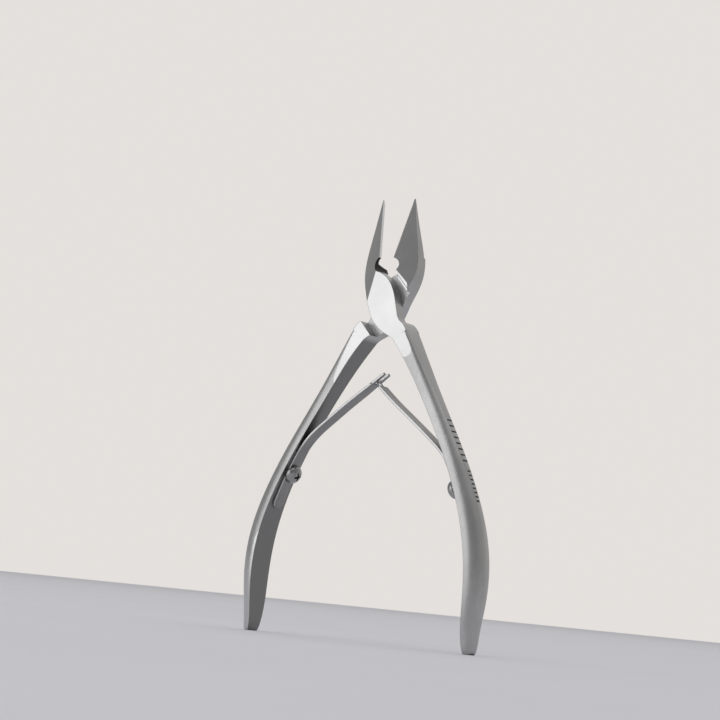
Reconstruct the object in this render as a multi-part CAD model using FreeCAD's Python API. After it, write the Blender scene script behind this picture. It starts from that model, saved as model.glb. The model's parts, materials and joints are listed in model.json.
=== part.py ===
"""Nail and cuticle nipper with a lap joint and a double leaf spring.

Frame: +Z runs up the tool from the handle ends to the jaw tips, X is its width, Y its thickness,
and the front of the tool faces -Y. The origin lies on the floor under the pivot, midway between
the handle ends. Millimetres.

Each lever is drawn closed, with the pivot axis at the origin and its cutting edge on X = 0, then
swung open about the pivot to its rest position and lifted onto the floor.
"""
import FreeCAD, Part
import math
import os

V = FreeCAD.Vector

# ---------------------------------------------------------------- driving dimensions
PIVOT_HEIGHT = 78.15       # pivot axis above the floor; the handle ends are dressed flat there
HALF_OPEN = 9.5            # how far each lever swings from closed to rest, degrees
JOINT_THICKNESS = 5.8      # lap joint and jaw roots, front to back
LAP_PLAY = 0.02            # gap between the two sliding lap faces

EDGE_HEEL = 11.8           # heel of the cutting edge above the pivot
EDGE_TIP = 26.8            # tip of the cutting edge above the pivot
EDGE_GAP = 0.03            # each edge stops this far from the centre plane
TIP_FLAT = 0.15            # width of the blunted tip
TIP_DEPTH = 2.9            # how far the tip lies behind the front plane
FACET_SLOPE = 0.47         # fall of the front grind per millimetre away from the edge
BACK_START = 13.5          # where the thinned back of the jaw starts
BACK_STEP = 0.5            # depth of the step there
BACK_AT_TIP = 0.35         # back face of the tip behind the middle plane
LAND = 0.95                # flat band behind the cutting edge
HOLLOW_RADIUS = 8.0        # concave grind behind the land
HOLLOW_OFFSET = 3.75       # axis of that grind, past the centre plane
HOLLOW_START = 9.9         # lower end of that grind
NOTCH_CENTRE = 10.3        # relief hole below the cutting edges, above the pivot
NOTCH_RADIUS = 1.7

SHOULDER_ANGLE = 38.0      # slope of the shoulders that the other lever swings between
SHOULDER_UP = 6.85         # distance of the jaw shoulder from the pivot axis
SHOULDER_DOWN = 6.35       # distance of the handle shoulder from the pivot axis
# Two lands with a groove between them along the jaw shoulder: start and end above the shoulder,
# distance from the middle plane
SHOULDER_LANDS = [(0, 0.5, 1.4), (0.5, 0.65, 1.0), (0.65, 1.35, 1.7)]
NOTCH_CLEARANCE = 1.45     # the milled half is cleared this far each side below the relief hole

PIN_RADIUS = 1.7
PIN_FLARE = 0.5            # extra radius and depth of the riveted end
PIN_COVER = 0.7            # metal left over the blind end in the front lever
PIN_PLAY = 0.03            # running clearance in the rear lever

STRIP_THICKNESS = 0.6      # leaf spring stock
STRIP_WIDTH = 3.6
STRIP_BITE = 0.05          # the foot is drawn this deep into the handle, then cut to its face
STRIP_SPLIT = 0.12         # gap at the bend between the clamped foot and the free arm
FORK_WIDTH = 2.8           # the forked strip tapers to this at its free end
FORK_TAPER = 8.0           # length of the taper
FORK_SLOT = 1.1
FORK_LENGTH = 3.9
TONGUE_WIDTH = 0.8
TONGUE_LENGTH = 2.55

SCREW_HEAD_RADIUS = 2.3
SCREW_HEAD_HEIGHT = 2.05
SCREW_RIM = 0.5            # straight rim below the dome
SCREW_RADIUS = 1.2
SCREW_LENGTH = 2.9
RECESS_WIDTH = 0.55
RECESS_SPAN = 2.7
RECESS_DEPTH = 0.95
SCREW_END_ROOM = 0.2       # empty hole past the end of the shank

HALF = JOINT_THICKNESS / 2.0
FAR = 200.0                # larger than the tool
OVER = 1.0                 # cutting tools run this far past the metal
TALL = 4.0                 # height of the blocks that cut the thin strips
RIM_STEPS = 12             # points round the outer side of a handle section
STRIP_STEPS = 16           # points along each side of a strip
HALVINGS = 50              # steps of each search along a curve
ORIGIN = V(0, 0, 0)
ACROSS = V(0, 1, 0)

# Handle stations along its inner face, closed, relative to the pivot:
# x, z, width across the tool, depth away from the inner face, squareness of the outer side
HANDLE_STATIONS = [
    (3.0, -8.6, 5.8, 4.1, 14.0),
    (5.1, -12.4, 5.8, 3.6, 7.0),
    (9.7, -23.0, 4.9, 3.3, 3.4),
    (15.0, -37.2, 5.4, 3.5, 2.5),
    (18.3, -49.5, 6.4, 3.9, 2.2),
    (19.4, -60.5, 7.1, 4.1, 2.2),
    (18.6, -69.5, 6.9, 3.7, 2.2),
    (17.4, -76.0, 5.8, 3.1, 2.2),
    (16.9, -80.2, 4.5, 2.6, 2.4),
    (16.95, -81.7, 3.9, 2.15, 2.8),
    (17.1, -82.45, 3.2, 1.75, 3.2),
]

# Outline of the jaw and the lap of the front lever, closed, relative to the pivot: x, z
JAW_OUTER = [(-TIP_FLAT, EDGE_TIP), (-2.0, 21.6), (-4.0, 16.4), (-5.3, 12.4), (-5.7, 9.0),
             (-5.1, 5.4), (-4.1, 2.2), (-3.5, -0.4), (-2.75, -2.6), (-1.4, -4.6), (0.6, -6.5),
             (3.0, -8.6)]
LAP_OUTER = [(-1.1, 9.05), (0.3, 8.15), (2.15, 6.35), (3.35, 3.8), (3.95, 0.3), (4.3, -2.8)]
SHOULDER_BUMP = [(4.3, -2.8), (4.75, -3.95), (5.5, -4.75)]

# Leaf springs at rest, heights relative to the pivot. The strip lies on the handle from its foot
# up to where it leaves it, and the arm's points run along its middle: distance from centre, z.
FORKED_SPRING = {"foot": -48.6, "leave": -35.8, "screw": -40.2, "split": -31.5, "turn": 20.0,
                 "arm": [(19.6, -32.9), (17.4, -30.4), (13.4, -27.0), (9.3, -23.7), (5.2, -20.6),
                         (-1.5, -15.5)]}
TONGUED_SPRING = {"foot": -50.0, "leave": -38.4, "screw": -41.6, "split": -34.2, "turn": 55.0,
                  "arm": [(21.3, -35.7), (19.4, -33.3), (17.2, -31.4), (13.2, -28.3), (8.9, -25.1),
                          (4.1, -21.5), (-1.3, -16.95)]}


# ---------------------------------------------------------------- helpers
def at(x, z):
    """Point of the XZ plane."""
    return V(x, 0, z)


def spline(points, first=None, last=None):
    """Smooth edge through points of the XZ plane, with its end directions if they are given."""
    curve = Part.BSplineCurve()
    if first is None:
        curve.interpolate(points)
    else:
        curve.interpolate(Points=points, InitialTangent=first, FinalTangent=last)
    return curve.toShape()


def plate(edges, y_front, y_back):
    """Solid between two planes of constant Y with the given XZ outline."""
    face = Part.Face(Part.Wire(Part.__sortEdges__(edges)))
    face.translate(V(0, y_front, 0))
    return face.extrude(V(0, y_back - y_front, 0))


def half_space(point, normal):
    """Large block on the side of a plane that its normal points to."""
    block = Part.makeBox(FAR, FAR, FAR, V(-FAR / 2, -FAR / 2, 0))
    block.Placement = FreeCAD.Placement(point, FreeCAD.Rotation(V(0, 0, 1), normal))
    return block


def swing(shape, degrees):
    """Copy turned about the pivot axis: a positive angle moves the jaws towards +X."""
    turned = shape.copy()
    turned.rotate(ORIGIN, ACROSS, degrees)
    return turned


def mirror_x(shape):
    return shape.mirror(ORIGIN, V(1, 0, 0))


def mirror_y(shape):
    return shape.mirror(ORIGIN, ACROSS)


# ---------------------------------------------------------------- handle
def inner_face_curve():
    """Line of the handle's inner face in the XZ plane, closed."""
    curve = Part.BSplineCurve()
    curve.interpolate([at(x, z) for x, z, _, _, _ in HANDLE_STATIONS])
    return curve


def directions(curve, point):
    """Directions at a point of the inner face: away from it into the handle, and down it."""
    down = curve.tangent(curve.parameter(point))[0]
    down.normalize()
    return V(-down.z, 0, down.x), down


def d_section(point, away, width, depth, squareness):
    """Wire across the handle: a flat inner face closed by a rounded outer side."""
    rim = [point + V(0, -width / 2, 0)]
    for i in range(1, RIM_STEPS):
        angle = math.pi * (i / RIM_STEPS - 0.5)
        reach = depth * math.cos(angle) ** (2.0 / squareness)
        side = math.copysign(abs(math.sin(angle)) ** (2.0 / squareness), angle) * width / 2
        rim.append(point + away * reach + V(0, side, 0))
    rim.append(point + V(0, width / 2, 0))
    outer = Part.BSplineCurve()
    outer.interpolate(Points=rim, Parameters=[i / RIM_STEPS for i in range(RIM_STEPS + 1)])
    return Part.Wire([outer.toShape(), Part.makeLine(rim[-1], rim[0])])


def handle():
    curve = inner_face_curve()
    sections = []
    for x, z, width, depth, squareness in HANDLE_STATIONS:
        point = at(x, z)
        away = directions(curve, point)[0]
        sections.append(d_section(point, away, width, depth, squareness))
    return Part.makeLoft(sections, True, False)


# ---------------------------------------------------------------- levers
def head_blank():
    """Left jaw, lap and right handle root at full thickness."""
    x, z, _, depth, _ = HANDLE_STATIONS[0]
    root = at(x, z)
    away, down = directions(inner_face_curve(), root)
    root_out = root + away * depth
    tip_out = at(-TIP_FLAT, EDGE_TIP)
    tip_in = at(-EDGE_GAP, EDGE_TIP)
    notch = at(-EDGE_GAP, NOTCH_CENTRE)
    edges = [
        Part.makeLine(tip_out, tip_in),
        Part.makeLine(tip_in, notch),
        Part.makeLine(notch, at(*LAP_OUTER[0])),
        spline([at(*p) for p in LAP_OUTER]),
        spline([at(*p) for p in SHOULDER_BUMP] + [root_out], V(0.3, 0, -1.0), down),
        Part.makeLine(root_out, root),
        spline([at(*p) for p in JAW_OUTER], V(-1.6, 0, -4.4), down),
    ]
    return plate(edges, -HALF, HALF)


def facet_normal():
    """Direction that the front grind of the left jaw faces."""
    along_edge = V(0, TIP_DEPTH, EDGE_TIP - EDGE_HEEL).normalize()
    return along_edge.cross(V(-1, FACET_SLOPE, 0)).normalize()


def front_grind():
    """Everything in front of the tilted facet that carries the cutting edge."""
    return half_space(V(0, -HALF, EDGE_HEEL), facet_normal())


def back_grind():
    """Everything behind the thinned back of the jaw."""
    foot = V(0, HALF - BACK_STEP, BACK_START)
    rise = V(0, BACK_AT_TIP, EDGE_TIP) - foot
    behind = half_space(foot, V(0, rise.z, -rise.y))
    return behind.common(Part.makeBox(FAR, FAR, FAR, V(-FAR / 2, -FAR / 2, BACK_START)))


def hollow_grind():
    """Concave grind behind the land, along the cutting edge."""
    along_edge = V(0, TIP_DEPTH, EDGE_TIP - EDGE_HEEL).normalize()
    below_heel = (HOLLOW_START - EDGE_HEEL) / along_edge.z
    drop = math.sqrt(HOLLOW_RADIUS ** 2 - HOLLOW_OFFSET ** 2)
    start = V(HOLLOW_OFFSET, -HALF + LAND + drop, EDGE_HEEL) + along_edge * below_heel
    return Part.makeCylinder(HOLLOW_RADIUS, EDGE_TIP, start, along_edge)


def relief_notch():
    length = JOINT_THICKNESS + 2 * OVER
    return Part.makeCylinder(NOTCH_RADIUS, length, V(0, -length / 2, NOTCH_CENTRE), ACROSS)


def shoulder_band(top):
    """Rear half between the handle shoulder and a height above the pivot, along the slope."""
    band = Part.makeBox(FAR, HALF + OVER, top + SHOULDER_DOWN,
                        V(-FAR / 2, -LAP_PLAY / 2, -SHOULDER_DOWN))
    return swing(band, -SHOULDER_ANGLE)


def lap_pocket():
    """Room for the other lever in the rear half, with two narrow lands along the jaw shoulder."""
    pocket = shoulder_band(SHOULDER_UP)
    for start, end, level in SHOULDER_LANDS:
        beyond = half_space(V(0, level, 0), ACROSS)
        band = shoulder_band(SHOULDER_UP + end).cut(shoulder_band(SHOULDER_UP + start))
        pocket = pocket.fuse(beyond.common(band))
    below_notch = Part.makeBox(2 * NOTCH_CLEARANCE, HALF + OVER, NOTCH_CENTRE,
                               V(-NOTCH_CLEARANCE, -LAP_PLAY / 2, 0))
    return pocket.fuse(below_notch)


def lever_blank():
    """Front lever, closed, before the lap is milled."""
    jaw = head_blank().cut(front_grind()).cut(back_grind()).cut(hollow_grind())
    return jaw.cut(relief_notch()).fuse(handle())


def rest_curve():
    """Line of the right handle's inner face with the tool at rest."""
    curve = inner_face_curve()
    curve.rotate(FreeCAD.Placement(ORIGIN, FreeCAD.Rotation(ACROSS, -HALF_OPEN)))
    return curve


def parameter_at(curve, z):
    """Parameter where a curve that only rises, or only falls, passes a height."""
    below, above = curve.FirstParameter, curve.LastParameter
    if curve.value(below).z > curve.value(above).z:
        below, above = above, below
    for _ in range(HALVINGS):
        middle = (below + above) / 2
        if curve.value(middle).z < z:
            below = middle
        else:
            above = middle
    return below


def seat_at(z):
    """Point of the right handle's inner face at rest, and the direction from it into the handle."""
    curve = rest_curve()
    point = curve.value(parameter_at(curve, z))
    return point, directions(curve, point)[0]


def screw_hole(spring):
    """Hole through the strip into the right handle at rest, with room past the shank's end."""
    seat, away = seat_at(spring["screw"])
    depth = SCREW_LENGTH - STRIP_THICKNESS + SCREW_END_ROOM
    return Part.makeCylinder(SCREW_RADIUS, depth + OVER, seat - away * OVER, away)


def pin_body(play):
    """Pivot pin with its riveted end at the back, grown by a clearance."""
    start = V(0, -HALF + PIN_COVER, 0)
    shank = Part.makeCylinder(PIN_RADIUS + play, JOINT_THICKNESS - PIN_COVER, start, ACROSS)
    flare = Part.makeCone(PIN_RADIUS + play, PIN_RADIUS + PIN_FLARE + play, PIN_FLARE,
                          V(0, HALF - PIN_FLARE, 0), ACROSS)
    return shank.fuse(flare)


def on_floor(shape):
    """Lift a part at rest onto the floor and dress the handle end flat."""
    lifted = shape.copy()
    lifted.translate(V(0, 0, PIVOT_HEIGHT))
    return lifted.cut(half_space(ORIGIN, V(0, 0, -1)))


def front_lever():
    lever = swing(lever_blank().cut(lap_pocket()), -HALF_OPEN)
    return lever.cut(pin_body(0.0)).cut(screw_hole(TONGUED_SPRING))


def rear_lever():
    """Mirror image of the blank, milled from the front instead of the back."""
    lever = swing(lever_blank().cut(mirror_y(lap_pocket())), -HALF_OPEN)
    lever = lever.cut(screw_hole(FORKED_SPRING))
    return mirror_x(lever).cut(pin_body(PIN_PLAY))


# ---------------------------------------------------------------- leaf springs
def strip_curve(spring):
    """Middle line of a leaf spring on the right side at rest, from its foot to its free end."""
    points = []
    for share in (0, 1 / 3, 2 / 3, 1):
        face, away = seat_at(spring["foot"] + (spring["leave"] - spring["foot"]) * share)
        points.append(face - away * (STRIP_THICKNESS / 2))
    points += [at(x, z) for x, z in spring["arm"]]
    middle = Part.BSplineCurve()
    middle.interpolate(points)
    return middle


def strip_band(middle, outer_side, inner_side):
    """Strip of full width along a curve, between two distances from it."""
    length = middle.LastParameter - middle.FirstParameter
    outer, inner = [], []
    for i in range(STRIP_STEPS + 1):
        u = middle.FirstParameter + length * i / STRIP_STEPS
        ahead = middle.tangent(u)[0].normalize()
        away = V(ahead.z, 0, -ahead.x)
        outer.append(middle.value(u) + away * outer_side)
        inner.append(middle.value(u) - away * inner_side)
    edges = [spline(outer), spline(inner), Part.makeLine(outer[0], inner[0]),
             Part.makeLine(outer[-1], inner[-1])]
    return plate(edges, -STRIP_WIDTH / 2, STRIP_WIDTH / 2)


def end_frame(curve, u):
    """Placement at a point of the strip: X along it towards the free end, Y across the tool."""
    ahead = curve.tangent(u)[0].normalize()
    return FreeCAD.Placement(curve.value(u), FreeCAD.Rotation(ahead, ACROSS, ahead.cross(ACROSS)))


def block_at(placement, length, width, start, side=0.0):
    """Box along a placement's X from a start, centred across it at a distance to the side."""
    block = Part.makeBox(length, width, TALL, V(start, side - width / 2, -TALL / 2))
    block.Placement = placement
    return block


def rounded_foot(strip, curve):
    """Cut the corners off the foot so that its end is a half circle."""
    radius = STRIP_WIDTH / 2
    place = end_frame(curve, curve.FirstParameter)
    corners = block_at(place, radius + OVER, STRIP_WIDTH + OVER, -OVER)
    disc = Part.makeCylinder(radius, TALL, V(radius, 0, -TALL / 2))
    disc.Placement = place
    return strip.cut(corners.cut(disc))


def forked_end(strip, curve):
    """Taper the free end and slot it, which leaves two prongs."""
    place = end_frame(curve, curve.LastParameter)
    taper = math.degrees(math.atan((STRIP_WIDTH - FORK_WIDTH) / 2 / FORK_TAPER))
    wedge = Part.makeBox(FORK_TAPER + 2 * OVER, STRIP_WIDTH, TALL, V(-FORK_TAPER - OVER, 0, -TALL / 2))
    wedge.rotate(ORIGIN, V(0, 0, 1), -taper)
    wedge.translate(V(0, FORK_WIDTH / 2, 0))
    for trim in (wedge, mirror_y(wedge)):
        trim.Placement = place.multiply(trim.Placement)
        strip = strip.cut(trim)
    return strip.cut(block_at(place, FORK_LENGTH + OVER, FORK_SLOT, -FORK_LENGTH))


def tongued_end(strip, curve):
    """Narrow the free end to a tongue."""
    place = end_frame(curve, curve.LastParameter)
    trim = (STRIP_WIDTH - TONGUE_WIDTH) / 2
    for side in (-1, 1):
        offset = side * (TONGUE_WIDTH + trim + OVER) / 2
        strip = strip.cut(block_at(place, TONGUE_LENGTH + OVER, trim + OVER, -TONGUE_LENGTH, offset))
    return strip


def leaf_spring(spring, shape_end, lever):
    """Foot and arm of one leaf spring on the right side, at rest."""
    curve = strip_curve(spring)
    half = STRIP_THICKNESS / 2
    strip = strip_band(curve, half + STRIP_BITE, half).cut(lever)
    strip = rounded_foot(strip, curve)
    strip = shape_end(strip, curve).cut(screw_hole(spring))
    u = parameter_at(curve, spring["split"])
    bend = curve.value(u)
    ahead = curve.tangent(u)[0].normalize()
    foot = strip.cut(half_space(bend - ahead * (STRIP_SPLIT / 2), ahead))
    arm = strip.cut(half_space(bend + ahead * (STRIP_SPLIT / 2), -ahead))
    return foot, arm


# ---------------------------------------------------------------- screws
def screw_shape():
    """Pan head screw standing on z = 0 with its shank below it and a cross recess."""
    dome = SCREW_HEAD_HEIGHT - SCREW_RIM
    sphere_radius = (dome ** 2 + SCREW_HEAD_RADIUS ** 2) / (2 * dome)
    head = Part.makeCylinder(SCREW_HEAD_RADIUS, SCREW_HEAD_HEIGHT)
    ball = Part.makeSphere(sphere_radius, V(0, 0, SCREW_HEAD_HEIGHT - sphere_radius))
    screw = head.common(ball)
    for turn in (0, 90):
        slot = Part.makeBox(RECESS_SPAN, RECESS_WIDTH, RECESS_DEPTH + OVER,
                            V(-RECESS_SPAN / 2, -RECESS_WIDTH / 2, SCREW_HEAD_HEIGHT - RECESS_DEPTH))
        slot.rotate(ORIGIN, V(0, 0, 1), turn)
        screw = screw.cut(slot)
    return screw.fuse(Part.makeCylinder(SCREW_RADIUS, SCREW_LENGTH, V(0, 0, -SCREW_LENGTH)))


def placed_screw(spring, foot):
    """Screw on the strip of the right handle, its head's underside shaped to the strip."""
    seat, away = seat_at(spring["screw"])
    screw = screw_shape()
    screw.rotate(ORIGIN, V(0, 0, 1), spring["turn"])
    place = FreeCAD.Placement(seat - away * STRIP_THICKNESS, FreeCAD.Rotation(V(0, 0, 1), -away))
    screw.Placement = place.multiply(screw.Placement)
    return screw.cut(foot)


# ---------------------------------------------------------------- assembly
def build():
    front = front_lever()
    rear = rear_lever()
    right_foot, right_arm = leaf_spring(TONGUED_SPRING, tongued_end, front)
    left_foot, left_arm = leaf_spring(FORKED_SPRING, forked_end, mirror_x(rear))
    return {
        "front_lever": front,
        "rear_lever": rear,
        "pivot_pin": pin_body(0.0),
        "right_spring_foot": right_foot,
        "right_spring_arm": right_arm,
        "right_spring_screw": placed_screw(TONGUED_SPRING, right_foot),
        "left_spring_foot": mirror_x(left_foot),
        "left_spring_arm": mirror_x(left_arm),
        "left_spring_screw": mirror_x(placed_screw(FORKED_SPRING, left_foot)),
    }


def main():
    os.makedirs("parts", exist_ok=True)
    for name, shape in build().items():
        solid = on_floor(shape)
        solid.exportStep("parts/" + name + ".step")


main()
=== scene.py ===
"""Looks of the nail and cuticle nipper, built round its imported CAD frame.

Everything is in metres in the frame's own axes: +Z up the tool, X its width, -Y its front.
"""
import json
import math

import bmesh
import bpy
from mathutils import Matrix, Vector
from mathutils.bvhtree import BVHTree


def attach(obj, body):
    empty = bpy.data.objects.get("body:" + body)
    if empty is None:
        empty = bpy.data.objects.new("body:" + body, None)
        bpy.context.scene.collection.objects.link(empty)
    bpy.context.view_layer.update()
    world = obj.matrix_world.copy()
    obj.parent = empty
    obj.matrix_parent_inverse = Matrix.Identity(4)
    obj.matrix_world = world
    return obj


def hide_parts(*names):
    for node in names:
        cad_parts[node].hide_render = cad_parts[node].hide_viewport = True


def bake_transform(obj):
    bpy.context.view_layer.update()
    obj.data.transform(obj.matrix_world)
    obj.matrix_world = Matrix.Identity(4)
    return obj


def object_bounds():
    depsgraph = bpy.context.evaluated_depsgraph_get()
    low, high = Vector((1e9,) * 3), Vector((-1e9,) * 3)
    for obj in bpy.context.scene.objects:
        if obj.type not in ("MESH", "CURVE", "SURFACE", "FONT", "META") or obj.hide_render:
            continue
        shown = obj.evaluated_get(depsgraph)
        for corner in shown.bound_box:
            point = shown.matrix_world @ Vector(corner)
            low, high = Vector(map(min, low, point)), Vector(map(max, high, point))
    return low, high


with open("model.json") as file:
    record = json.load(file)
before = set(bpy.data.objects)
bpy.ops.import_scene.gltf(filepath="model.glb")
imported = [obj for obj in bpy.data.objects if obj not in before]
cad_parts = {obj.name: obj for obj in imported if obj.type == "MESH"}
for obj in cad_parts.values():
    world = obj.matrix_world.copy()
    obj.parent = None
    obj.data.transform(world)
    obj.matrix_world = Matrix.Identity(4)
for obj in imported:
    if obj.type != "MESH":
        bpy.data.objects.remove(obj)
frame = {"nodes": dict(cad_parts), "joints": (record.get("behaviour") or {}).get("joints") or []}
cad_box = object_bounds()

MM = 0.001
joints = {joint["name"]: joint for joint in frame["joints"]}
PIVOT = Vector(joints["jaw_pivot"]["pos_m"])

# ---------------------------------------------------------------- camera
LENS = 101.04              # millimetres
SENSOR_WIDTH = 36.0        # millimetres
CAMERA_AT = Vector((0.2686, -0.3875, 0.0008))
LOOKS_ALONG = Vector((-0.574, 0.808, 0.136))
CAMERA_UP = Vector((0.0, -0.166, 0.986))
RAISED = Vector((0.0, 0.0, 0.008))     # a little higher, so that the floor shows its surface
AIMED_AT = Vector((0.0, 0.0, 0.052))   # point of the tool that it is turned about
ROLL = 0.22                # degrees


def camera():
    """Camera at the viewing angle, raised a little and turned down to the same point of the tool."""
    back = -LOOKS_ALONG.normalized()
    right = CAMERA_UP.cross(back).normalized()
    up = back.cross(right)
    turn = Matrix.Rotation(math.radians(ROLL), 3, back) @ Matrix((right, up, back)).transposed()
    swing = (AIMED_AT - CAMERA_AT).rotation_difference(AIMED_AT - CAMERA_AT - RAISED)
    data = bpy.data.cameras.new("camera")
    data.lens = LENS
    data.sensor_width = SENSOR_WIDTH
    data.clip_start = 0.01
    data.clip_end = 50.0
    eye = bpy.data.objects.new("camera", data)
    eye.matrix_world = Matrix.Translation(CAMERA_AT + RAISED) @ (swing.to_matrix() @ turn).to_4x4()
    bpy.context.scene.collection.objects.link(eye)
    bpy.context.scene.camera = eye


# ---------------------------------------------------------------- node graphs
class Graph:
    """Short hand for building a node tree. A value is a number or an output socket."""

    def __init__(self, tree):
        self.tree = tree
        tree.nodes.clear()

    def add(self, kind, inputs=(), **settings):
        """New node with its inputs, by index or name, and its settings."""
        node = self.tree.nodes.new(kind)
        for name, value in settings.items():
            setattr(node, name, value)
        for key, value in dict(inputs).items():
            self.put(node.inputs[key], value)
        return node

    def put(self, socket, value):
        """Link a socket to a value, or set it."""
        if isinstance(value, bpy.types.NodeSocket):
            self.tree.links.new(value, socket)
        else:
            socket.default_value = value

    def math(self, operation, a, b=0.0):
        return self.add("ShaderNodeMath", {0: a, 1: b}, operation=operation).outputs[0]

    def ramp(self, value, low, high):
        """Smooth step from 0 at low to 1 at high."""
        inputs = {0: value, 1: low, 2: high, 3: 0.0, 4: 1.0}
        return self.add("ShaderNodeMapRange", inputs, interpolation_type="SMOOTHSTEP").outputs[0]

    def blend(self, share, a, b):
        """Number between a and b."""
        return self.add("ShaderNodeMix", {0: share, 2: a, 3: b}, data_type="FLOAT").outputs[0]

    def tint(self, share, a, b):
        """Colour between two plain colours."""
        return self.cover(share, (*a, 1.0), (*b, 1.0))

    def cover(self, share, under, over):
        """Colour with another laid over it by share; each is four numbers or a socket."""
        node = self.add("ShaderNodeMix", {0: share, 6: under, 7: over}, data_type="RGBA")
        return node.outputs[2]

    def part(self, vector, axis):
        """One of a vector's X, Y and Z, as 0, 1 or 2."""
        return self.add("ShaderNodeSeparateXYZ", {0: vector}).outputs[axis]

    def scaled(self, vector, scale):
        return self.add("ShaderNodeMapping", {0: vector, 3: scale}).outputs[0]

    def noise(self, vector, scale, detail=3.0, rough=0.5):
        inputs = {"Vector": vector, "Scale": scale, "Detail": detail, "Roughness": rough}
        return self.add("ShaderNodeTexNoise", inputs).outputs[0]

    def finish(self, shader, kind="ShaderNodeOutputMaterial"):
        """Join the last shader to the tree's output."""
        self.tree.links.new(shader.outputs[0], self.add(kind).inputs[0])


GRAIN_SCALE = 5200.0       # bead-blast grain, per metre
CLOUD_SCALE = 110.0        # slow drift of the finish, per metre
SMUDGE_SCALE = 420.0       # finger marks, per metre
EDGE_RADIUS = 0.0002       # broken edges catch the light
NOTCH_RADIUS = 0.0017      # relief notch below the cutting edges
NOTCH_AT = (0.0017, 0.08831)           # its axis on the rear lever, X and Z
NOTCH_DARK_COLOUR = (0.06, 0.058, 0.056, 1.0)       # dark colour on the wall of the relief notch
NOTCH_ROUGHNESS = 0.6
INNER_PAINTED_SHADE = (0.235, 0.233, 0.231, 1.0)       # painted shade: darker colour on the inner faces of the handles
HONED_WITH_HIGHLIGHT = (0.93, 0.93, 0.93, 1.0)                # sides of the cutting edges: honed, and near white as a painted highlight
SMUDGE_SPREAD = 0.05       # roughness that smudges add or take on blasted steel
POLISH_SPREAD = 0.03       # the same on polished steel
POLISH_RELIEF = 0.05       # share of the grain's depth that polishing leaves


def finish_nodes(g, position):
    """Shared texture values: blasted grain, slow clouds and smudges."""
    return {"grain": g.noise(position, GRAIN_SCALE, 3.0, 0.6),
            "cloud": g.noise(position, CLOUD_SCALE, 3.0, 0.55),
            "smudge": g.noise(position, SMUDGE_SCALE, 4.0, 0.6)}


def metal(name, dark, light, roughness, lines, mask=None, polish=None, dark_notch=None, side=None):
    """Steel with a blasted grain and fine lines along one way, polished where mask says.

    lines is (scale along X, Y, Z, depth in metres); polish is (dark, light, roughness), near white
    on the spring corners as a painted highlight; dark_notch is the centre, X and Z, of a relief notch
    whose wall is coloured dark; side is that of a lever, which gets painted shade on its inner
    handle faces and a honed cutting edge with a painted highlight.
    """
    material = bpy.data.materials.new(name)
    material.use_nodes = True
    g = Graph(material.node_tree)
    coordinates = g.add("ShaderNodeTexCoord")
    position, normal = coordinates.outputs["Object"], coordinates.outputs["Normal"]
    look = finish_nodes(g, position)
    streak = g.noise(g.scaled(position, lines[:3]), 1.0, 3.0, 0.6)
    tone = g.blend(0.5, look["cloud"], g.blend(0.5, look["grain"], streak))
    colour = g.tint(g.ramp(tone, 0.35, 0.65), dark, light)
    rough = g.math("ADD", g.blend(look["smudge"], -SMUDGE_SPREAD, SMUDGE_SPREAD), roughness)
    height = g.blend(0.5, look["grain"], streak)
    if side is not None:
        # painted shade: the inner faces of the handles are coloured darker
        colour = g.cover(inner_shade_share(g, position, normal, side), colour, INNER_PAINTED_SHADE)
    if mask is not None:
        # polished zones; on the springs this is the painted highlight of their corners
        share = mask(g, position, normal)
        bright = g.tint(g.ramp(look["cloud"], 0.3, 0.7), polish[0], polish[1])
        colour = g.cover(share, colour, bright)
        fine = g.math("ADD", g.blend(look["smudge"], -POLISH_SPREAD, POLISH_SPREAD), polish[2])
        rough = g.blend(share, rough, fine)
        height = g.math("MULTIPLY", height, g.blend(share, 1.0, POLISH_RELIEF))
    if side is not None:
        # honed sides of the cutting edges, near white: a painted highlight
        colour = g.cover(land_highlight_share(g, position, normal, side), colour, HONED_WITH_HIGHLIGHT)
    if dark_notch is not None:
        # the wall of the relief notch is coloured dark and rougher
        inside = notch_share(g, position, *dark_notch)
        colour = g.cover(inside, colour, NOTCH_DARK_COLOUR)
        rough = g.blend(inside, rough, NOTCH_ROUGHNESS)
    edge = g.add("ShaderNodeBevel", {"Radius": EDGE_RADIUS}, samples=6)
    bump = g.add("ShaderNodeBump", {"Height": height, "Distance": lines[3], "Strength": 1.0,
                                    "Normal": edge.outputs[0]})
    g.finish(g.add("ShaderNodeBsdfPrincipled", {"Base Color": colour, "Metallic": 1.0,
                                                "Roughness": rough, "Normal": bump.outputs[0]}))
    return material


def notch_share(g, position, x0, z0):
    """1 on the wall of the relief notch whose axis is at X, Z, and 0 away from it."""
    across = g.math("SUBTRACT", g.part(position, 0), x0)
    up = g.math("SUBTRACT", g.part(position, 2), z0)
    square = g.math("ADD", g.math("MULTIPLY", across, across), g.math("MULTIPLY", up, up))
    return g.ramp(g.math("SQRT", square), NOTCH_RADIUS + 0.00012, NOTCH_RADIUS + 0.00002)


SHOULDER_Z = 0.0696        # height where the flat laps end and the handles start
STRIP_TOP = 0.0698         # height where the polished strips start to narrow
STRIP_START = 0.0719       # height where they start
INNER_TOP = 0.0728         # height where the inner faces of the handles, and their painted shade, end
EDGE_FOOT = 0.0894         # height where the cutting edges start
LAP_INSIDE = 0.00125       # lap faces nearer than this to the middle plane are inside ones


def inner_shade_share(g, position, normal, side):
    """Share of painted shade: 1 on the inner face of a handle and 0 elsewhere on its lever."""
    inwards = g.ramp(g.math("MULTIPLY", g.part(normal, 0), -side), 0.5, 0.8)
    return g.math("MULTIPLY", inwards, g.ramp(g.part(position, 2), INNER_TOP, INNER_TOP - 0.001))


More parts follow.
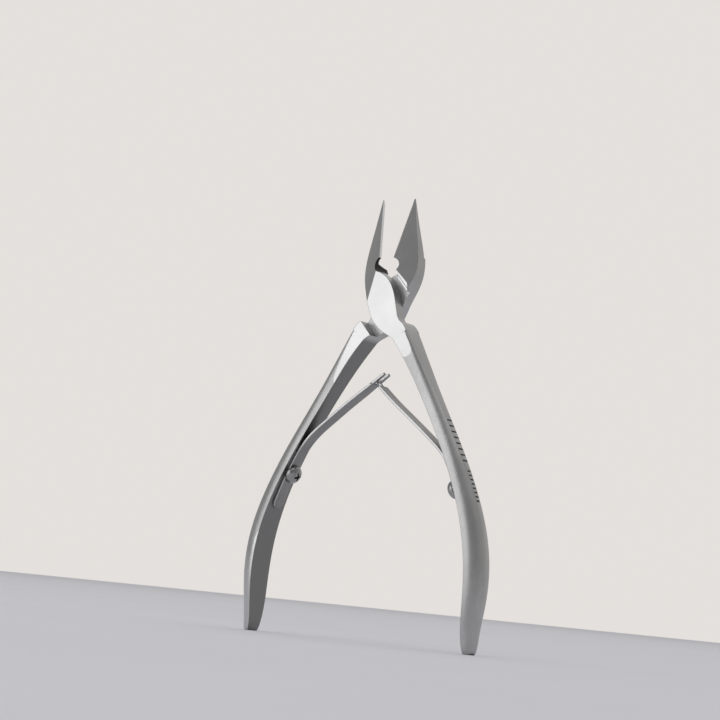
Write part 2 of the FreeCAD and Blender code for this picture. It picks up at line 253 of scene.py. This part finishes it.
def land_highlight_share(g, position, normal, side):
    """1 on the honed side of a cutting edge, painted as a highlight, and 0 elsewhere on its lever."""
    sideways = g.ramp(g.math("MULTIPLY", g.part(normal, 0), side), 0.8, 0.88)
    above = g.ramp(g.part(position, 2), EDGE_FOOT - 0.0002, EDGE_FOOT + 0.0002)
    return g.math("MULTIPLY", sideways, above)


def lever_mask(side, strip_foot, strip_width, blunt):
    """Polished zones of a lever: the flat lap faces and a strip that runs out down the handle.

    side is +1 for the lever whose handle is on the right. The strip narrows from its full width
    where the handle starts to nothing at strip_foot, next to the handle's inner edge: a high
    blunt gives it a round end and a low one a long point.
    """
    corner = Vector((0.0071, 0.0668))      # point of the inner edge, X and Z
    away = Vector((0.839, 0.544))          # from that edge across the handle

    def lap(g, position, flat):
        facing = g.ramp(flat, 0.9955, 0.9985)
        depth = g.math("ABSOLUTE", g.part(position, 1))
        outside = g.ramp(depth, LAP_INSIDE - 0.00005, LAP_INSIDE + 0.00005)
        above = g.ramp(g.part(position, 2), SHOULDER_Z - 0.0001, SHOULDER_Z + 0.0001)
        return g.math("MULTIPLY", g.math("MULTIPLY", facing, outside), above)

    def strip(g, position, flat):
        z = g.part(position, 2)
        across = g.math("ADD", g.math("MULTIPLY", g.part(position, 0), side * away.x),
                        g.math("MULTIPLY", z, away.y))
        across = g.math("DIVIDE", g.math("SUBTRACT", across, corner.dot(away)), strip_width)
        down = g.math("DIVIDE", g.math("SUBTRACT", z, STRIP_TOP), STRIP_TOP - strip_foot)
        below = g.math("ABSOLUTE", g.math("MINIMUM", down, 0.0))
        outline = g.math("ADD", g.math("POWER", below, blunt),
                         g.math("MULTIPLY", across, g.math("ABSOLUTE", across)))
        started = g.ramp(z, STRIP_START + 0.0003, STRIP_START - 0.0003)
        inside = g.math("MULTIPLY", g.ramp(outline, 1.03, 0.97), started)
        return g.math("MULTIPLY", inside, g.ramp(flat, 0.62, 0.8))

    def mask(g, position, normal):
        flat = g.math("ABSOLUTE", g.part(normal, 1))
        return g.math("MAXIMUM", lap(g, position, flat), strip(g, position, flat))

    return mask


def strip_edge_highlights(g, position, normal):
    """Painted highlight, near white, on the corners along a leaf spring, and part of the same on its
    sawn sides.
    """
    facing = g.math("ABSOLUTE", g.part(normal, 1))
    side = g.ramp(facing, 0.93, 0.99)
    return g.math("MULTIPLY", g.ramp(facing, 0.35, 0.7), g.blend(side, 1.0, 0.55))


# Dark tone, light tone and, where the finish is polished, roughness.
SATIN = ((0.44, 0.438, 0.436), (0.52, 0.518, 0.516))
POLISHED = ((0.565, 0.565, 0.565), (0.62, 0.62, 0.622), 0.24)
# corners of the springs, near white: a painted highlight
EDGE_PAINTED_HIGHLIGHT = ((0.74, 0.74, 0.74), (0.82, 0.82, 0.82), 0.25)
SPRING = ((0.235, 0.233, 0.231), (0.32, 0.318, 0.316))
SCREW = ((0.33, 0.33, 0.332), (0.44, 0.44, 0.442))
PIN = ((0.58, 0.58, 0.59), (0.70, 0.70, 0.71))
ETCHED = ((0.012, 0.012, 0.013), (0.05, 0.05, 0.052))

# Lines of the finish: scale along X, Y and Z, per metre, and depth in metres.
ALONG_LEVER = (2600, 2600, 500, 0.000008)
ALONG_STRIP = (900, 2600, 900, 0.0000025)
NO_WAY = (3200, 3200, 3200, 0.000006)
ACROSS_PIN = (3200, 600, 3200, 0.000004)


def make_materials():
    """Every steel of the tool, by the part that it is for."""
    front_mask = lever_mask(1, strip_foot=0.0664, strip_width=0.0030, blunt=2.2)
    rear_mask = lever_mask(-1, strip_foot=0.0600, strip_width=0.0027, blunt=1.0)
    front_notch = (-NOTCH_AT[0], NOTCH_AT[1])
    return {
        "front": metal("satin_steel_front", *SATIN, 0.37, ALONG_LEVER, front_mask, POLISHED,
                       front_notch, 1),
        "rear": metal("satin_steel_rear", *SATIN, 0.37, ALONG_LEVER, rear_mask, POLISHED,
                      NOTCH_AT, -1),
        # the springs' corners get a painted highlight
        "spring": metal("spring_steel", *SPRING, 0.33, ALONG_STRIP, strip_edge_highlights, EDGE_PAINTED_HIGHLIGHT),
        "screw": metal("screw_steel", *SCREW, 0.27, NO_WAY),
        "pin": metal("pin_steel", *PIN, 0.22, ACROSS_PIN),
        "mark": etched("etched_mark"),
    }


def etched(name):
    """Dark laser etching."""
    material = bpy.data.materials.new(name)
    material.use_nodes = True
    g = Graph(material.node_tree)
    position = g.add("ShaderNodeTexCoord").outputs["Object"]
    speck = g.noise(position, GRAIN_SCALE, 3.0, 0.7)
    colour = g.tint(g.ramp(speck, 0.35, 0.7), *ETCHED)
    rough = g.blend(speck, 0.55, 0.8)
    bump = g.add("ShaderNodeBump", {"Height": speck, "Distance": 0.00001})
    g.finish(g.add("ShaderNodeBsdfPrincipled", {"Base Color": colour, "Metallic": 0.4,
                                                "Roughness": rough, "Normal": bump.outputs[0]}))
    return material


# ---------------------------------------------------------------- meshes
def mesh_object(name, bm, material, smooth=True):
    """Object in the scene made from a bmesh, which is used up."""
    bmesh.ops.recalc_face_normals(bm, faces=bm.faces)
    data = bpy.data.meshes.new(name)
    bm.to_mesh(data)
    bm.free()
    for polygon in data.polygons:
        polygon.use_smooth = smooth
    data.materials.append(material)
    piece = bpy.data.objects.new(name, data)
    bpy.context.scene.collection.objects.link(piece)
    return piece


def apply_modifiers(piece):
    """Make the shape that a piece's modifiers give its own."""
    evaluated = piece.evaluated_get(bpy.context.evaluated_depsgraph_get())
    piece.data = bpy.data.meshes.new_from_object(evaluated)
    piece.modifiers.clear()


def sharpen(piece, degrees):
    """Smooth shading that stays crisp at edges sharper than an angle."""
    for polygon in piece.data.polygons:
        polygon.use_smooth = True
    piece.data.set_sharp_from_angle(angle=math.radians(degrees))


# ---------------------------------------------------------------- leaf springs, in millimetres
STRIP_THICKNESS = 0.6
STRIP_WIDTH = 3.6
STRIP_EDGE = 0.13          # rounding of the strip's long edges
RING_PITCH = 0.6           # distance between the rings of a strip's mesh
END_PITCH = 0.5            # the same along the prongs and the tongue
OVERLAP = 0.3              # how far the prongs and the tongue start inside the strip
BODY_START = 2.2           # distance from the foot where the half circle is over
FORK = {"width": 2.8, "taper": 8.0, "slot": 1.1, "length": 3.9}
PRONG_CORNER = 0.12
TONGUE = {"width": 0.8, "length": 2.55}
TONGUE_CORNER = 0.1

# A strip lies on its handle from its foot up to where it leaves it, at heights relative to the
# pivot, and the arm's points run along its middle: distance to the side and height. The screw
# sits at a share of its length, with its cross turned by some degrees.
FORKED_SPRING = {"lever": "rear_lever", "side": -1, "foot": -48.6, "leave": -35.8,
                 "screw": 0.2093, "turn": 20.0,
                 "arm": [(19.6, -32.9), (17.4, -30.4), (13.4, -27.0), (9.3, -23.7), (5.2, -20.6),
                         (-1.5, -15.5)]}
TONGUED_SPRING = {"lever": "front_lever", "side": 1, "foot": -50.0, "leave": -38.4,
                  "screw": 0.2068, "turn": 55.0,
                  "arm": [(21.3, -35.7), (19.4, -33.3), (17.2, -31.4), (13.2, -28.3), (8.9, -25.1),
                          (4.1, -21.5), (-1.3, -16.95)]}
SEAT_POINTS = 4            # points of a strip's line that lie along the handle
SPLINE_STEPS = 12          # steps between two points of the line
BESIDE_HOLE = 1.2          # distance from the middle plane that clears the screw's hole


def surface(node):
    """Search tree of a CAD piece's faces."""
    data = frame["nodes"][node].data
    return BVHTree.FromPolygons([v.co for v in data.vertices], [p.vertices for p in data.polygons])


def spring_line(spring):
    """Middle line of a strip, from its foot to its free end, as points to the side and up."""
    lever = surface(spring["lever"])
    step = (spring["leave"] - spring["foot"]) / (SEAT_POINTS - 1)
    points = []
    for i in range(SEAT_POINTS):
        height = spring["foot"] + step * i
        start = Vector((0.0, BESIDE_HOLE * MM, PIVOT.z + height * MM))
        face, normal, _, _ = lever.ray_cast(start, Vector((spring["side"], 0, 0)))
        off = normal * STRIP_THICKNESS / 2
        points.append((spring["side"] * (face.x / MM + off.x), height + off.z))
    return points + spring["arm"]


def natural_spline(points, steps):
    """Points along a cubic spline through the given points, steps to each stretch."""
    n = len(points)
    gaps = [(points[i + 1] - points[i]).length for i in range(n - 1)]
    bend = [Vector((0, 0)) for _ in range(n)]
    share = [0.0] * n
    for i in range(1, n - 1):
        slope = ((points[i + 1] - points[i]) / gaps[i] - (points[i] - points[i - 1]) / gaps[i - 1]) * 6
        pivot = 2 * (gaps[i - 1] + gaps[i]) - gaps[i - 1] * share[i - 1]
        share[i] = gaps[i] / pivot
        bend[i] = (slope - gaps[i - 1] * bend[i - 1]) / pivot
    for i in range(n - 2, 0, -1):
        bend[i] = bend[i] - share[i] * bend[i + 1]
    line = []
    for i in range(n - 1):
        for k in range(steps if i < n - 2 else steps + 1):
            b = k / steps
            a = 1 - b
            line.append(a * points[i] + b * points[i + 1] + gaps[i] ** 2 / 6
                        * ((a ** 3 - a) * bend[i] + (b ** 3 - b) * bend[i + 1]))
    return line


def rounded_rectangle(half_width, half_height, radius, arc=4):
    """Corner-rounded outline, as (across, through) pairs."""
    radius = min(radius, half_width * 0.9, half_height * 0.9)
    outline = []
    for quarter, (sx, sy) in enumerate([(1, 1), (-1, 1), (-1, -1), (1, -1)]):
        for k in range(arc + 1):
            angle = math.pi / 2 * (quarter + k / arc)
            outline.append((sx * (half_width - radius) + radius * math.cos(angle),
                            sy * (half_height - radius) + radius * math.sin(angle)))
    return outline


class Strip:
    """A flat spring's middle line, measured along its length in millimetres."""

    def __init__(self, spring):
        self.points = natural_spline([Vector(p) for p in spring_line(spring)], SPLINE_STEPS)
        self.side = spring["side"]
        self.at = [0.0]
        for a, b in zip(self.points, self.points[1:]):
            self.at.append(self.at[-1] + (b - a).length)
        self.length = self.at[-1]

    def place(self, s):
        """Point and unit direction at a distance from the foot; beyond the ends it runs straight."""
        i = max(k for k in range(len(self.at) - 1) if self.at[k] <= s or k == 0)
        a, b = self.points[i], self.points[i + 1]
        ahead = (b - a).normalized()
        return a + ahead * (s - self.at[i]), ahead

    def world(self, s, across, through):
        """Point in the frame, metres: through is measured from the middle towards the handle."""
        point, ahead = self.place(s)
        away = Vector((ahead.y, -ahead.x))
        flat = point + away * through
        return Vector((self.side * flat.x * MM, across * MM, PIVOT.z + flat.y * MM))

    def loft(self, bm, stations):
        """Closed tube of rounded rectangles; a station is (s, half width, offset across)."""
        rings = []
        for s, half, offset in stations:
            outline = rounded_rectangle(half, STRIP_THICKNESS / 2, STRIP_EDGE)
            rings.append([bm.verts.new(self.world(s, offset + u, w)) for u, w in outline])
        for a, b in zip(rings, rings[1:]):
            for k in range(len(a)):
                bm.faces.new((a[k - 1], a[k], b[k], b[k - 1]))
        bm.faces.new(rings[0])
        bm.faces.new(list(reversed(rings[-1])))


def spread(start, end, step):
    """Evenly spaced values from start to end, about a step apart."""
    count = max(1, round((end - start) / step))
    return [start + (end - start) * i / count for i in range(count + 1)]


def foot_stations(width):
    """Half circle at the foot of a strip, as stations."""
    radius = width / 2
    angles = [math.pi / 2 * k / 10 for k in range(1, 11)]
    return [(radius * (1 - math.cos(a)), radius * math.sin(a), 0.0) for a in angles]


def forked_strip(bm, strip):
    """Strip that tapers to two prongs."""
    root = strip.length - FORK["length"]
    taper = strip.length - FORK["taper"]
    slope = (STRIP_WIDTH - FORK["width"]) / 2 / FORK["taper"]

    def half(s):
        return STRIP_WIDTH / 2 - slope * max(0.0, s - taper)

    body = [(s, half(s), 0.0) for s in spread(BODY_START, root, RING_PITCH)]
    strip.loft(bm, foot_stations(STRIP_WIDTH) + body)
    for side in (-1, 1):
        prong = []
        for s in spread(root - OVERLAP, strip.length, END_PITCH):
            inner, outer = FORK["slot"] / 2, half(s)
            prong.append((s, (outer - inner) / 2, side * (outer + inner) / 2))
        tip, wide, offset = prong[-1]
        prong[-1] = (tip - PRONG_CORNER, wide, offset)
        prong.append((tip, wide - PRONG_CORNER, offset))
        strip.loft(bm, prong)


def tongued_strip(bm, strip):
    """Strip that narrows to a tongue."""
    shoulder = strip.length - TONGUE["length"]
    half, thin = STRIP_WIDTH / 2, TONGUE["width"] / 2
    body_end, tongue_end = shoulder - TONGUE_CORNER, strip.length - TONGUE_CORNER
    body = [(s, half, 0.0) for s in spread(BODY_START, body_end, RING_PITCH)]
    body.append((shoulder, half - TONGUE_CORNER, 0.0))
    strip.loft(bm, foot_stations(STRIP_WIDTH) + body)
    tongue = [(s, thin, 0.0) for s in spread(shoulder - OVERLAP, tongue_end, END_PITCH)]
    strip.loft(bm, tongue + [(strip.length, thin - TONGUE_CORNER, 0.0)])


BEND_SPAN = 3.0            # length of strip round the joint, millimetres; its ends are found but not used


def leaf_spring(name, spring, shape, joint, material):
    """One unbroken strip in its rest shape; the stretch round its joint is found but not bent."""
    strip = Strip(spring)
    bm = bmesh.new()
    shape(bm, strip)
    piece = mesh_object(name, bm, material)
    sharpen(piece, 40)
    hinge = Vector(joints[joint]["pos_m"])
    middle = min(range(len(strip.at)), key=lambda k: abs(strip.world(strip.at[k], 0, 0).z - hinge.z))
    s = strip.at[middle]
    start, end = strip.world(s - BEND_SPAN / 2, 0, 0), strip.world(s + BEND_SPAN / 2, 0, 0)
    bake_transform(piece)
    return piece


# ---------------------------------------------------------------- screws
HEAD_RADIUS = 2.28
HEAD_HEIGHT = 2.05
HEAD_RIM = 0.45            # height of the straight side below the dome
HEAD_SUNK = 0.3            # how far the head reaches into the strip
HEAD_NECK = HEAD_RADIUS - 0.15         # radius of that part
DOME_STEPS = 12
HEAD_SEGMENTS = 56         # round the head
DOME_SHAPE = (0.86, 1.1)   # powers that make the dome fuller than a circle
CROSS_TOP = (2.75, 0.62)   # length and width of an arm pair above the head
CROSS_FOOT = (1.5, 0.46)   # and at the bottom of the recess
CROSS_DEPTH = 1.05
CROSS_ABOVE = 0.6


def head_mesh(name, material):
    """Pan head without its recess, standing on Z = 0."""
    profile = [(0.0, -HEAD_SUNK), (HEAD_NECK, -HEAD_SUNK), (HEAD_NECK, -0.02), (HEAD_RADIUS, 0.12),
               (HEAD_RADIUS, HEAD_RIM)]
    dome = HEAD_HEIGHT - HEAD_RIM
    for k in range(1, DOME_STEPS + 1):
        angle = math.pi / 2 * k / DOME_STEPS
        profile.append((HEAD_RADIUS * math.cos(angle) ** DOME_SHAPE[0],
                        HEAD_RIM + dome * math.sin(angle) ** DOME_SHAPE[1]))
    bm = bmesh.new()
    lathe(bm, profile, HEAD_SEGMENTS)
    return mesh_object(name, bm, material)


def cut_cross(piece, material):
    """Cut the tapered cross recess into a head."""
    cutters = []
    for quarter in (0, 1):
        bm = bmesh.new()
        wedge(bm, CROSS_TOP, CROSS_FOOT, HEAD_HEIGHT + CROSS_ABOVE, HEAD_HEIGHT - CROSS_DEPTH)
        bmesh.ops.rotate(bm, verts=bm.verts, cent=(0, 0, 0),
                         matrix=Matrix.Rotation(math.radians(90 * quarter), 3, "Z"))
        cutters.append(mesh_object(piece.name + "_cut", bm, material, smooth=False))
    for cutter in cutters:
        cut = piece.modifiers.new("recess", "BOOLEAN")
        cut.operation = "DIFFERENCE"
        cut.solver = "EXACT"
        cut.object = cutter
    apply_modifiers(piece)
    for cutter in cutters:
        bpy.data.objects.remove(cutter)


def screw(name, node, spring, body, material):
    """Pan-head screw on a strip."""
    strip = Strip(spring)
    seat = strip.length * spring["screw"]
    under = strip.world(seat, 0.0, -STRIP_THICKNESS / 2)
    out = (strip.world(seat, 0.0, -STRIP_THICKNESS / 2 - 1.0) - under).normalized()
    piece = head_mesh(name, material)
    cut_cross(piece, material)
    spin = Matrix.Rotation(math.radians(spring["turn"]), 4, "Z")
    stand = out.to_track_quat("Z", "Y").to_matrix().to_4x4()
    piece.data.transform(Matrix.Translation(under) @ stand @ spin @ Matrix.Scale(MM, 4))
    sharpen(piece, 35)
    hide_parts(node)
    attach(piece, body)


def lathe(bm, profile, segments):
    """Closed solid of revolution about Z from a profile that starts and ends on the axis."""
    start = bm.verts.new((0, 0, profile[0][1]))
    end = bm.verts.new((0, 0, profile[-1][1]))
    rings = []
    for radius, z in profile[1:-1]:
        rings.append([bm.verts.new((radius * math.cos(2 * math.pi * k / segments),
                                    radius * math.sin(2 * math.pi * k / segments), z))
                      for k in range(segments)])
    for a, b in zip(rings, rings[1:]):
        for k in range(segments):
            bm.faces.new((a[k - 1], a[k], b[k], b[k - 1]))
    for k in range(segments):
        bm.faces.new((start, rings[0][k], rings[0][k - 1]))
        bm.faces.new((end, rings[-1][k - 1], rings[-1][k]))


def wedge(bm, top, foot, z_top, z_foot):
    """Bar that tapers downwards, for one arm pair of a cross recess; top and foot are its
    length and width there."""
    corners = []
    for (length, width), z in ((foot, z_foot), (top, z_top)):
        for sx, sy in ((-1, -1), (1, -1), (1, 1), (-1, 1)):
            corners.append(bm.verts.new((sx * length / 2, sy * width / 2, z)))
    bm.faces.new(corners[:4])
    bm.faces.new(corners[4:])
    for k in range(4):
        n = (k + 1) % 4
        bm.faces.new((corners[k], corners[n], corners[n + 4], corners[k + 4]))


# ---------------------------------------------------------------- etched marks, in millimetres
MARK_TOP = 52.3            # height of the highest stroke
MARK_GROUPS = [(8, 1.3, 1.0), (8, 0.95, 0.62)]         # strokes, pitch and half length of each
GROUP_GAP = 1.0
MARK_WIDTH = 0.36
MARK_STEP = 0.15           # distance between the mesh points along a stroke
MARK_LIFT = 0.008


def marks(material):
    """A plain row of strokes along the outer face of the right handle."""
    lever = surface("front_lever")
    beside = cad_box[1][0] + 0.01
    bm = bmesh.new()
    z = MARK_TOP
    for count, pitch, half in MARK_GROUPS:
        for _ in range(count):
            stroke(bm, lever, beside, z, half)
            z -= pitch
        z -= GROUP_GAP
    piece = mesh_object("handle_marks", bm, material)
    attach(piece, "front_half")


def stroke(bm, lever, beside, z, half):
    """Strip laid on the surface that rays from beside the tool meet at a height."""
    rows = []
    for across in spread(-half, half, MARK_STEP):
        row = []
        for along in (-MARK_WIDTH / 2, MARK_WIDTH / 2):
            origin = Vector((beside, across * MM, (z + along) * MM))
            hit, normal, _, _ = lever.ray_cast(origin, Vector((-1, 0, 0)))
            row.append(bm.verts.new(hit + normal * MARK_LIFT * MM))
        rows.append(row)
    for a, b in zip(rows, rows[1:]):
        bm.faces.new((a[0], a[1], b[1], b[0]))


# ---------------------------------------------------------------- surroundings
FLOOR_RADIUS = 6.0
FLOOR_CLOUDS = 9.0                     # scale of the slow drift of its colour, per metre
FLOOR_GRAIN = 900.0
FLOOR_TINTS = ((0.69, 0.69, 0.725), (0.74, 0.74, 0.775))
IN_FRONT = (0.26, 0.26, 0.262)         # tones of the surroundings, seen by the steel only
BESIDE = (0.40, 0.396, 0.392)
BEHIND = (0.58, 0.57, 0.56, 1.0)
OVERHEAD = (0.95, 0.95, 0.95, 1.0)
BACKDROP = (0.78, 0.745, 0.72, 1.0)    # what the camera sees
LIT_POINT = (0.0, 0.0, 0.05)


def floor():
    """Large pale floor under the handle ends."""
    bm = bmesh.new()
    bmesh.ops.create_circle(bm, cap_ends=True, radius=FLOOR_RADIUS, segments=96)
    material = bpy.data.materials.new("floor")
    material.use_nodes = True
    g = Graph(material.node_tree)
    position = g.add("ShaderNodeTexCoord").outputs["Object"]
    colour = g.tint(g.noise(position, FLOOR_CLOUDS), *FLOOR_TINTS)
    bump = g.add("ShaderNodeBump", {"Height": g.noise(position, FLOOR_GRAIN), "Distance": 0.00005})
    shader = g.add("ShaderNodeBsdfPrincipled", {"Base Color": colour, "Roughness": 0.75,
                                                "Normal": bump.outputs[0]})
    shader.inputs["Specular IOR Level"].default_value = 0.2
    g.finish(shader)
    ground = mesh_object("floor", bm, material, smooth=False)
    ground.location.z = cad_box[0][2]


def area_light(name, at, size, power):
    """Rectangular light that faces the middle of the tool."""
    data = bpy.data.lights.new(name, "AREA")
    data.shape = "RECTANGLE"
    data.size, data.size_y = size
    data.energy = power
    lamp = bpy.data.objects.new(name, data)
    lamp.location = at
    lamp.rotation_euler = (Vector(at) - Vector(LIT_POINT)).to_track_quat("Z", "Y").to_euler()
    bpy.context.scene.collection.objects.link(lamp)


def studio():
    """Pale surroundings, brighter behind and above the tool than in front, and two soft lights."""
    world = bpy.data.worlds.new("studio")
    bpy.context.scene.world = world
    world.use_nodes = True
    g = Graph(world.node_tree)
    direction = g.add("ShaderNodeTexCoord").outputs["Generated"]
    y, z = g.part(direction, 1), g.part(direction, 2)
    around = g.tint(g.ramp(y, -0.6, 0.1), IN_FRONT, BESIDE)
    around = g.cover(g.ramp(y, 0.5, 0.85), around, BEHIND)
    around = g.cover(g.ramp(z, 0.66, 0.9), around, OVERHEAD)
    colour = g.cover(g.add("ShaderNodeLightPath").outputs["Is Camera Ray"], around, BACKDROP)
    g.finish(g.add("ShaderNodeBackground", {"Color": colour}), "ShaderNodeOutputWorld")
    area_light("key", (-0.42, -0.80, 0.06), (0.80, 1.30), 3.9)
    area_light("top", (-0.5, 0.9, 2.4), (2.2, 2.2), 8.0)


# ---------------------------------------------------------------- assembly
def dress(node, material):
    """Put a material on a CAD piece."""
    for slot in frame["nodes"][node].material_slots:
        slot.material = material


def main():
    """Build the scene round the CAD pieces."""
    camera()
    studio()
    floor()
    steel = make_materials()
    dress("front_lever", steel["front"])
    dress("rear_lever", steel["rear"])
    dress("pivot_pin", steel["pin"])
    left = leaf_spring("left_leaf_spring", FORKED_SPRING, forked_strip, "left_arm_flex",
                       steel["spring"])
    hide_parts("left_spring_foot", "left_spring_arm")
    right = leaf_spring("right_leaf_spring", TONGUED_SPRING, tongued_strip, "right_arm_flex",
                        steel["spring"])
    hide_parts("right_spring_foot", "right_spring_arm")
    screw("left_screw", "left_spring_screw", FORKED_SPRING, "rear_half", steel["screw"])
    screw("right_screw", "right_spring_screw", TONGUED_SPRING, "front_half", steel["screw"])
    marks(steel["mark"])
    bpy.context.scene.view_settings.view_transform = "Standard"
    bpy.context.scene.view_settings.look = "None"


main()
